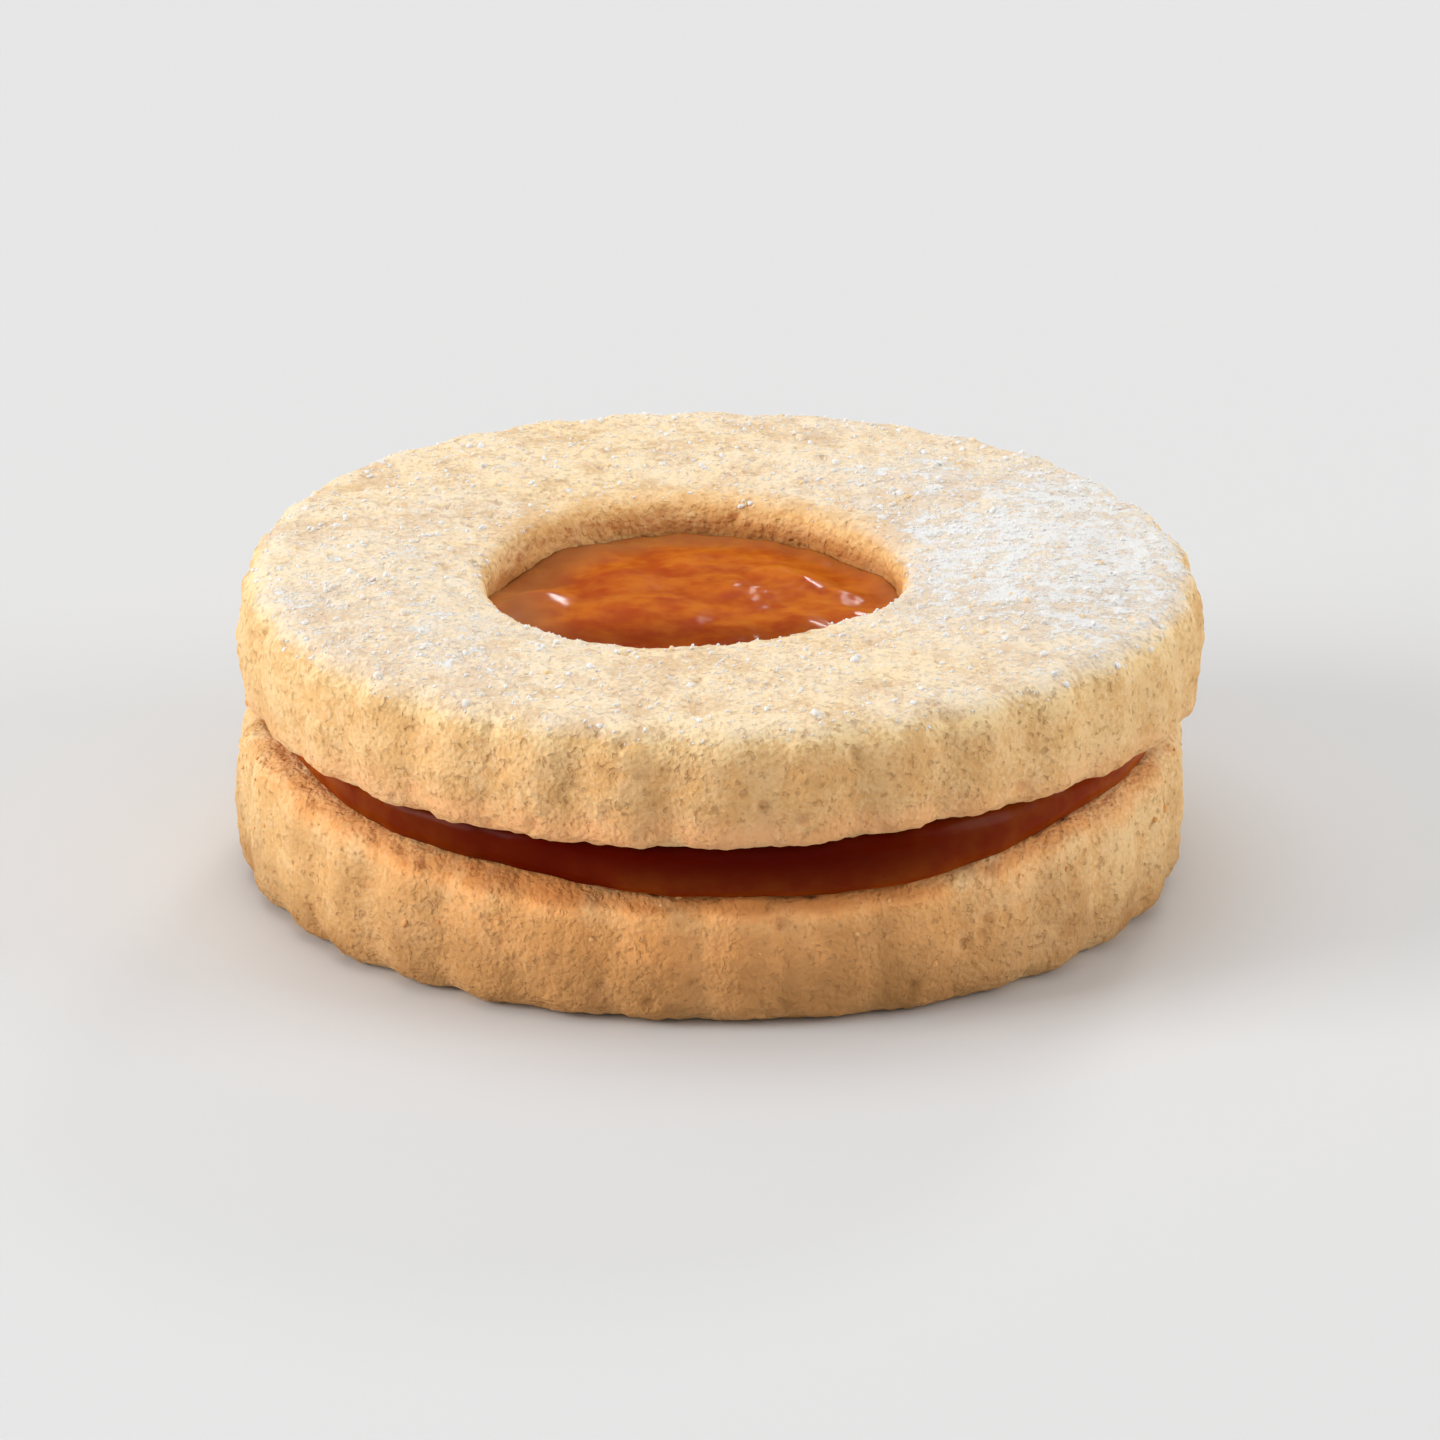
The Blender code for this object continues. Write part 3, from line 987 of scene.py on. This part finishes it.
def biscuit_material(name, groups, stain_colour, has_sugar, **browning):
    """Sandy shortbread, browned by the oven and stained where the jam soaked in, with painted shade at its
    foot, front and pores, and painted light on the base's stained upper edge.
    """
    material, tree, shader = new_material(
        name,
        Subsurface_Weight=0.15, Subsurface_Radius=(1.0, 0.55, 0.3), Subsurface_Scale=1.0 * MM,
        Specular_IOR_Level=0.2,
    )
    place = object_place(tree)
    crumb = placed_group(tree, groups["crumb"], Place=place, Pore_Share=0.45)
    brown = placed_group(tree, groups["browning"], Place=place, **browning)
    tone = field(crumb, "Tone")
    pale = mixed(tone.step(0.22, 0.66), PALE_SHADE, PALE)
    colour = mixed(tone.step(0.25, 0.75), GOLD, CREAM)
    colour = mixed(field(brown, "Top") * PALE_SHARE, colour, pale)
    stain = attribute(tree, "stain")
    # Painted shade: the front and the foot are darkened partly as browning and partly as shade, the pores
    # wholly as shade.
    colour = mixed(field(brown, "Front") * (1 - stain), colour, FRONT_CRUST_AND_SHADE)
    colour = mixed(field(brown, "Toasted"), colour, TOASTED_AND_SHADED)
    colour = mixed(field(crumb, "Pores"), colour, PAINTED_PORE_SHADE)
    uneven = noise(place, STAIN_CLOUD_SIZE, 2)
    radius, _, _ = polar(place)
    by_window = radius.step(WALL_COLOUR_END, WALL_COLOUR_FULL)
    soaked = mixed(by_window, stain_colour, WALL_STAIN)
    colour = mixed(stain * uneven.step(0.20, 0.55) * STAIN_SHARE, colour, soaked)
    colour = mixed((stain + uneven * 0.3).step(0.75, 1.15) * FILM_SHARE, colour, JAM_FILM)
    bump_height = field(crumb, "Height")
    roughness = 0.92 - tone * 0.12
    if has_sugar:
        sugar = placed_group(tree, groups["sugar"], Place=place, Cover=attribute(tree, "sugar"))
        colour = mixed(field(sugar, "White"), colour, SUGAR_WHITE)
        bump_height = bump_height * (1 - field(sugar, "White") * 0.5) + field(sugar, "Height") * 0.9
    feed(shader, Base_Color=colour, Roughness=roughness, Normal=bumped(bump_height, CRUMB_BUMP, 0.9))
    return material


def sugar_material():
    """Icing sugar in loose clumps."""
    material, tree, shader = new_material(
        "icing_sugar",
        Subsurface_Weight=0.35, Subsurface_Radius=(1.0, 0.95, 0.85), Subsurface_Scale=0.3 * MM,
        Specular_IOR_Level=0.3,
    )
    place = object_place(tree)
    tone = noise(place, 0.6 * MM, 2)
    colour = mixed(tone.step(0.3, 0.7), SUGAR_SHADE, SUGAR_LIGHT)
    bump = bumped(noise(place, 0.1 * MM, 2), 0.03 * MM)
    feed(shader, Base_Color=colour, Roughness=0.8 + tone * 0.15, Normal=bump)
    return material


def crumb_material(name, dark, light):
    """Loose grains of baked dough."""
    material, tree, shader = new_material(
        name,
        Subsurface_Weight=0.2, Subsurface_Radius=(1.0, 0.55, 0.3), Subsurface_Scale=0.5 * MM,
        Specular_IOR_Level=0.25,
    )
    place = object_place(tree)
    tone = noise(place, 0.9 * MM, 2)
    colour = mixed(tone.step(0.3, 0.7), dark, light)
    bump = bumped(noise(place, 0.12 * MM, 2), 0.04 * MM)
    feed(shader, Base_Color=colour, Roughness=0.8 + tone * 0.15, Normal=bump)
    return material


def jam_material():
    """Apricot jam: orange in the window, where light comes through, and dark red-brown in the gap and along
    the window's wall and front, partly for thicker jam and partly as painted shade.
    """
    material, tree, shader = new_material(
        "apricot_jam_gloss",
        Subsurface_Weight=0.6, Subsurface_Radius=(1.0, 0.25, 0.05), Subsurface_Scale=1.6 * MM,
        IOR=1.4, Specular_IOR_Level=0.0, Coat_Roughness=0.19, Coat_IOR=1.4,
    )
    place = object_place(tree)
    pulp = noise(place, PULP_SIZE, 2) * 0.7 + noise(place, FINE_PULP_SIZE, 2) * 0.3
    depth = attribute(tree, "depth")
    colour = mixed(pulp.step(0.35, 0.68), JAM_ORANGE, JAM_AMBER)
    colour = mixed(attribute(tree, "thinness"), colour, JAM_THIN)
    # Painted shade: the jam is darkened where the depth attribute says, partly as thicker jam.
    colour = mixed(depth, colour, JAM_DEEP_AND_SHADED)
    ripples = noise(place, SHEEN_RIPPLE_SIZE, 2) * 0.85 + noise(place, FINE_SHEEN_RIPPLE_SIZE, 1) * 0.15
    gloss = 0.5 - depth * 0.45
    bump = bumped(ripples, JAM_BUMP, 0.5)
    feed(shader, Base_Color=colour, Roughness=0.3 + pulp * 0.2, Coat_Weight=gloss, Normal=bump)
    return material


# ---------------------------------------------------------------- the pieces

def finish_piece(obj, slot, *nodes):
    """Gives a piece its body, and hides the solids that it replaces, if any."""
    if nodes:
        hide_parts(*nodes)
    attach(obj, BODY)


def make_biscuits(groups):
    base = turned("sable_base", base_profile(), BISCUIT_STEPS)
    base_finish = biscuit_material(
        "sable_base_crumb", groups, BASE_STAIN_AND_LIGHT, has_sugar=False,
        Thickness=BASE_THICKNESS, Foot_Share=0.85, Front_Share=0.88, Patch_Share=0.42,
    )
    run_nodes(base, biscuit_group("bake_base", base_shape, base_stain), material=base_finish)
    made_plain(base)
    seat(base, "base_biscuit")
    ring = turned("sable_ring", ring_profile(), BISCUIT_STEPS, is_loop=True)
    ring_finish = biscuit_material(
        "sable_ring_crumb", groups, RING_STAIN, has_sugar=True,
        Floor=RING_FLOOR, Thickness=RING_THICKNESS, Foot_Share=0.08, Front_Share=0.25, Patch_Share=0.14,
    )
    run_nodes(ring, biscuit_group("bake_ring", ring_shape, ring_stain, sifted_sugar), material=ring_finish)
    made_plain(ring)
    seat(ring, "ring_biscuit")
    finish_piece(base, "baked_sable", "base_biscuit")
    finish_piece(ring, "dusted_sable", "ring_biscuit")
    return base, ring


def make_jam():
    jam = turned("apricot_jam_spread", jam_profile(), JAM_STEPS)
    run_nodes(jam, jam_group(), material=jam_material())
    made_plain(jam)
    seat(jam, "jam_filling")
    finish_piece(jam, "apricot_jam", "jam_filling")
    return jam


def scattered(name, surface, group, slot, **inputs):
    """Loose grains on a surface, as one plain mesh."""
    obj = bpy.data.objects.new(name, surface.data.copy())
    bpy.context.scene.collection.objects.link(obj)
    run_nodes(obj, group, **inputs)
    made_plain(obj)
    finish_piece(obj, slot)
    return obj


def make_grains(base, ring):
    scatter = scatter_group()
    sugar = sugar_material()
    top_crumb = crumb_material("loose_top_crumbs", CREAM, SUGAR_WHITE)
    base_crumb = crumb_material("loose_base_crumbs", FRONT_CRUST_AND_SHADE, GOLD)
    scattered(
        "icing_sugar_powder", ring, scatter, "dusted_sable",
        per_square_metre=9.0e6, grain_radius=0.075 * MM, seed=3, material=sugar,
    )
    scattered(
        "icing_sugar_clumps", ring, scatter, "dusted_sable",
        per_square_metre=0.9e6, grain_radius=0.15 * MM, roundness=2, seed=11, material=sugar,
    )
    crumbs = (("ring_crumbs", ring, top_crumb, 0.6, 21), ("base_crumbs", base, base_crumb, 0.0, 22))
    for name, surface, finish, least_upward, seed in crumbs:
        scattered(
            name, surface, scatter, "baked_sable",
            per_square_metre=0.15e6, grain_radius=0.11 * MM, roundness=2, size_spread=2.0,
            follow_sugar=0.0, least_upward=least_upward, seed=seed, material=finish,
        )


# ---------------------------------------------------------------- studio

def area_light(name, place, width, height, watts, shape="RECTANGLE"):
    light = bpy.data.lights.new(name, "AREA")
    light.shape = shape
    light.size, light.size_y = width, height
    light.energy = watts
    obj = bpy.data.objects.new(name, light)
    obj.location = place
    obj.rotation_euler = (Vector(LIGHT_AIM) - Vector(place)).to_track_quat("-Z", "Y").to_euler()
    bpy.context.scene.collection.objects.link(obj)


def make_studio():
    """A pale floor and sky, soft lights overhead, in front and at both sides, and a small one behind."""
    bpy.ops.mesh.primitive_plane_add(size=FLOOR_SIZE)
    floor = bpy.context.object
    floor.name = "studio_floor"
    material, tree, shader = new_material("pale_floor", Specular_IOR_Level=0.2)
    tone = noise(object_place(tree), FLOOR_CLOUD_SIZE, 2)
    feed(shader, Base_Color=mixed(tone, FLOOR_DARK, FLOOR_LIGHT), Roughness=0.7 + tone * 0.1)
    floor.data.materials.append(material)
    world = bpy.data.worlds.new("pale_surround")
    world.use_nodes = True
    tree = world.node_tree
    height = split(field(tree.nodes.new("ShaderNodeTexCoord"), "Generated"))[2]
    sky = mixed(height.step(0.25, 0.95), SKY_LOW, SKY_HIGH)
    tree.links.new(sky.socket, tree.nodes["Background"].inputs["Color"])
    bpy.context.scene.world = world
    area_light("overhead_softbox", (-0.10, 0.16, 0.62), width=0.50, height=0.40, watts=1.20)
    area_light("left_softbox", (-0.62, -0.16, 0.24), width=0.35, height=0.40, watts=3.5)
    area_light("right_softbox", (0.64, -0.10, 0.22), width=0.35, height=0.40, watts=1.9)
    area_light("front_softbox", (0.10, -0.70, 0.28), width=0.50, height=0.30, watts=0.36)
    area_light("rear_softbox", (0.16, 0.54, 0.25), width=0.14, height=0.10, watts=0.68, shape="ELLIPSE")
    bpy.context.scene.view_settings.view_transform = "Standard"


def make_camera():
    camera = bpy.data.objects.new("view_camera", bpy.data.cameras.new("view_camera"))
    camera.data.lens = VIEW_LENS
    back = Vector((0, -math.cos(VIEW_ELEVATION), math.sin(VIEW_ELEVATION)))
    camera.location = Vector(VIEW_AIM) + back * VIEW_DISTANCE
    camera.rotation_euler = (-back).to_track_quat("-Z", "Y").to_euler()
    bpy.context.scene.collection.objects.link(camera)
    bpy.context.scene.camera = camera


make_camera()
look_groups = {
    "crumb": crumb_look_group(),
    "browning": browning_group(),
    "sugar": sugar_look_group(),
}
base_piece, ring_piece = make_biscuits(look_groups)
make_jam()
make_grains(base_piece, ring_piece)
make_studio()
